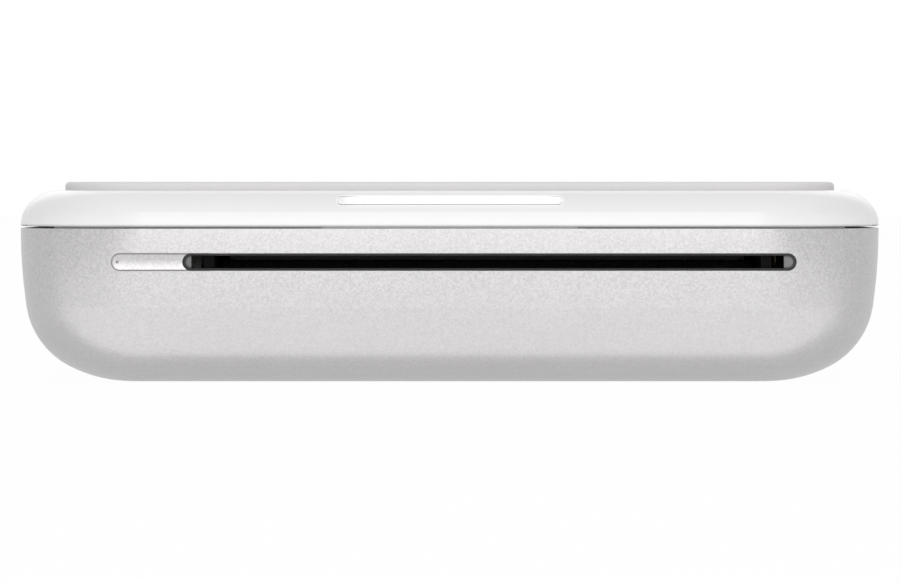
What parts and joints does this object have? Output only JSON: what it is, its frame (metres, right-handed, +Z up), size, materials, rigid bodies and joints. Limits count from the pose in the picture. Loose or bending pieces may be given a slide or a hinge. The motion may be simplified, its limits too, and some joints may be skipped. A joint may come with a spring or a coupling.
{
  "type": "compact photo printer",
  "caption": "Pocket photo printer: flat rounded pearl shell with a print slot, white hinged cover over a paper tray, print roller, print head and gear train.",
  "frame": {"origin": "middle of the flat underside", "axes": "+X to the right seen from the print slot, +Y from the slot to the hinge, +Z up"},
  "size_m": [0.082, 0.118, 0.019],
  "materials": {
    "battery_foil": "laminated pouch",
    "bezel_dark": "fine moulded texture",
    "board_green": "solder mask",
    "bush_bronze": "sintered",
    "button_white": "satin",
    "chassis_black": "moulded satin",
    "chip_black": "moulded",
    "cover_white": "satin white",
    "flex_amber": "polyimide",
    "foam": "foam",
    "gear_acetal": "moulded acetal",
    "head_aluminium": "extruded",
    "head_ceramic": "glazed ceramic",
    "lead_grey": "sheath",
    "lead_red": "insulation",
    "light_clear": "frosted clear",
    "liner_white": "moulded satin",
    "magnet_nickel": "nickel plated",
    "motor_can": "plated can",
    "panel_grey": "matte light grey",
    "pearl_shell": "fine metallic pearl over moulded plastic",
    "plate_grey": "moulded satin",
    "plug_white": "moulded nylon",
    "roller_rubber": "ground",
    "screw_steel": "black zinc",
    "shield_can": "tinned",
    "spring_steel": "drawn wire",
    "steel": "bright"
  },
  "bodies": {
    "casing": {"battery": "battery_foil", "battery_leads": "lead_red", "battery_pad": "foam", "battery_plug": "plug_white", "board_chips": "chip_black", "board_screws": "screw_steel", "bracket_screws": "screw_steel", "case_screws": "screw_steel", "charge_light_pipe": "light_clear", "chassis": "chassis_black", "chassis_screws": "screw_steel", "drive_motor": "motor_can", "exit_guide": "bezel_dark", "flex_socket": "chip_black", "gear_pins": "steel", "head_flex_cable": "flex_amber", "head_pivot_rod": "steel", "head_springs": "spring_steel", "head_stay": "steel", "hinge_pins": "steel", "inner_bezel": "bezel_dark", "latch_keepers": "steel", "lower_shell": "pearl_shell", "main_board": "board_green", "motor_bracket": "steel", "motor_lead": "lead_grey", "motor_plug": "plug_white", "pickup_bushes": "bush_bronze", "platen_bushes": "bush_bronze", "power_switch": "chip_black", "radio_module": "shield_can", "reset_switch": "chip_black", "status_light_board": "board_green", "status_light_guide": "light_clear", "stay_screws": "screw_steel", "usb_port": "shield_can"},
    "cover": {"top_cover": "cover_white", "cover_panel": "panel_grey", "cover_liner": "liner_white", "status_light_bar": "light_clear", "latch_magnets": "magnet_nickel", "liner_screws": "screw_steel", "plate_springs": "spring_steel"},
    "stack_plate": {"pressure_plate": "plate_grey"},
    "print_head": {"head_plate": "head_aluminium", "head_strip": "head_ceramic"},
    "print_roller": {"platen_shaft": "steel", "platen_sleeve": "roller_rubber", "platen_gear": "gear_acetal"},
    "pickup_roller": {"pickup_shaft": "steel", "pickup_tyres": "roller_rubber", "pickup_gear": "gear_acetal"},
    "first_idler": {"idler_gear_1": "gear_acetal"},
    "second_idler": {"idler_gear_2": "gear_acetal"},
    "third_idler": {"idler_gear_3": "gear_acetal"},
    "reduction": {"reduction_gear": "gear_acetal"},
    "motor_rotor": {"motor_pinion": "gear_acetal"},
    "power_key": {"power_button": "button_white"},
    "reset_key": {"reset_button": "chip_black"}
  },
  "joints": [
    {"name": "cover_hinge", "type": "hinge", "parent": "casing", "child": "cover", "pos_m": [0, 0.0564, 0.0155], "axis": [-1, 0, 0], "range_deg": [0, 70]},
    {"name": "stack_plate_slide", "type": "slide", "parent": "cover", "child": "stack_plate", "axis": [0, 0, 1], "range_m": [0, 0.002], "stiffness_N_per_m": 250, "springref_m": -0.001, "deforming": ["plate_springs"]},
    {"name": "print_head_tilt", "type": "hinge", "parent": "casing", "child": "print_head", "pos_m": [0, -0.0365, 0.0122], "axis": [-1, 0, 0], "range_deg": [0, 1.2], "stiffness_Nm_per_rad": 0.4, "springref_deg": -2.86, "deforming": ["head_springs", "head_flex_cable"]},
    {"name": "print_roller_spin", "type": "hinge", "parent": "casing", "child": "print_roller", "pos_m": [0, -0.0465, 0.00802], "axis": [1, 0, 0], "continuous": true},
    {"name": "first_idler_spin", "type": "hinge", "parent": "casing", "child": "first_idler", "pos_m": [0, -0.0385, 0.00802], "axis": [1, 0, 0], "continuous": true},
    {"name": "second_idler_spin", "type": "hinge", "parent": "casing", "child": "second_idler", "pos_m": [0, -0.0325, 0.00802], "axis": [1, 0, 0], "continuous": true},
    {"name": "third_idler_spin", "type": "hinge", "parent": "casing", "child": "third_idler", "pos_m": [0, -0.0265, 0.00802], "axis": [1, 0, 0], "continuous": true},
    {"name": "pickup_roller_spin", "type": "hinge", "parent": "casing", "child": "pickup_roller", "pos_m": [0, -0.0195, 0.00802], "axis": [1, 0, 0], "continuous": true},
    {"name": "reduction_spin", "type": "hinge", "parent": "casing", "child": "reduction", "pos_m": [0, -0.013, 0.00802], "axis": [1, 0, 0], "continuous": true},
    {"name": "motor_spin", "type": "hinge", "parent": "casing", "child": "motor_rotor", "pos_m": [0, -0.0055, 0.00802], "axis": [1, 0, 0], "continuous": true},
    {"name": "power_button_press", "type": "slide", "parent": "casing", "child": "power_key", "axis": [0, -1, 0], "range_m": [0, 0.0004], "stiffness_N_per_m": 900, "springref_m": -0.0004},
    {"name": "reset_button_press", "type": "slide", "parent": "casing", "child": "reset_key", "axis": [0, -1, 0], "range_m": [0, 0.00025], "stiffness_N_per_m": 500, "springref_m": -0.0004}
  ],
  "couplings": [
    {"joint": "first_idler_spin", "follows": "print_roller_spin", "ratio": -1.6667},
    {"joint": "second_idler_spin", "follows": "print_roller_spin", "ratio": 1.6667},
    {"joint": "third_idler_spin", "follows": "print_roller_spin", "ratio": -1.6667},
    {"joint": "pickup_roller_spin", "follows": "print_roller_spin", "ratio": 1.25},
    {"joint": "reduction_spin", "follows": "print_roller_spin", "ratio": -2},
    {"joint": "motor_spin", "follows": "print_roller_spin", "ratio": 4}
  ]
}
